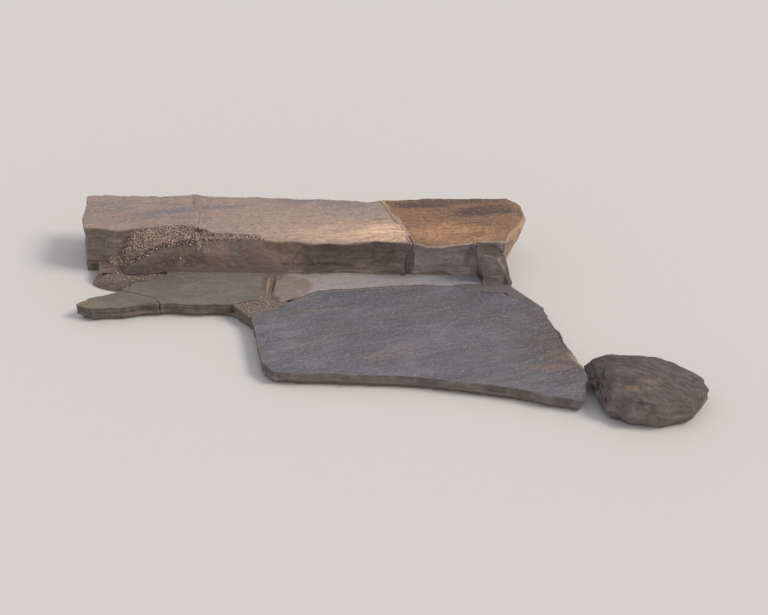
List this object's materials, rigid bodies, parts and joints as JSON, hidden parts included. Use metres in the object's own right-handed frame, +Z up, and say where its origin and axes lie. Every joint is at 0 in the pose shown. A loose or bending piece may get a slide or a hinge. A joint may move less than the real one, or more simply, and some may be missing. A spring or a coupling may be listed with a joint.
{
  "type": "outdoor stone steps",
  "caption": "Outdoor stone steps: a mortared flagstone lower tread, one rise and an upper tread of thick natural-cleft slabs, with a low rock, a corner stone and an edging boulder.",
  "frame": {"origin": "on the ground, under the middle of the steps' overall width and depth", "axes": "+X across the steps to the right of a person walking up, +Y uphill from the lower to the upper tread, +Z up"},
  "size_m": [2.466, 1.3966, 0.225],
  "materials": {
    "pale_quartzite": "natural cleft, pale pinkish beige with lavender-grey streaks",
    "brown_quartzite": "natural cleft, tan brown",
    "dark_fieldstone": "weathered, dark brown grey",
    "blue_grey_flagstone": "natural cleft, blue grey with tan streaks",
    "beige_flagstone": "natural cleft, warm beige",
    "green_grey_flagstone": "natural cleft, green grey",
    "grey_boulder": "weathered, light grey",
    "mortar": "sandy, brownish, rough",
    "gravel": "fine crushed stone, tan"
  },
  "bodies": {
    "root": {"left_upper_slab": "pale_quartzite", "middle_upper_slab": "pale_quartzite", "right_upper_slab": "brown_quartzite", "upper_slab_joints": "mortar", "upper_bed": "mortar", "low_riser_rock": "dark_fieldstone", "gravel_pocket": "gravel", "corner_stone": "dark_fieldstone", "main_flagstone": "blue_grey_flagstone", "strip_flagstone": "beige_flagstone", "left_flagstone": "green_grey_flagstone", "end_flagstone": "green_grey_flagstone", "lower_mortar": "mortar", "edging_boulder": "grey_boulder"}
  },
  "joints": []
}
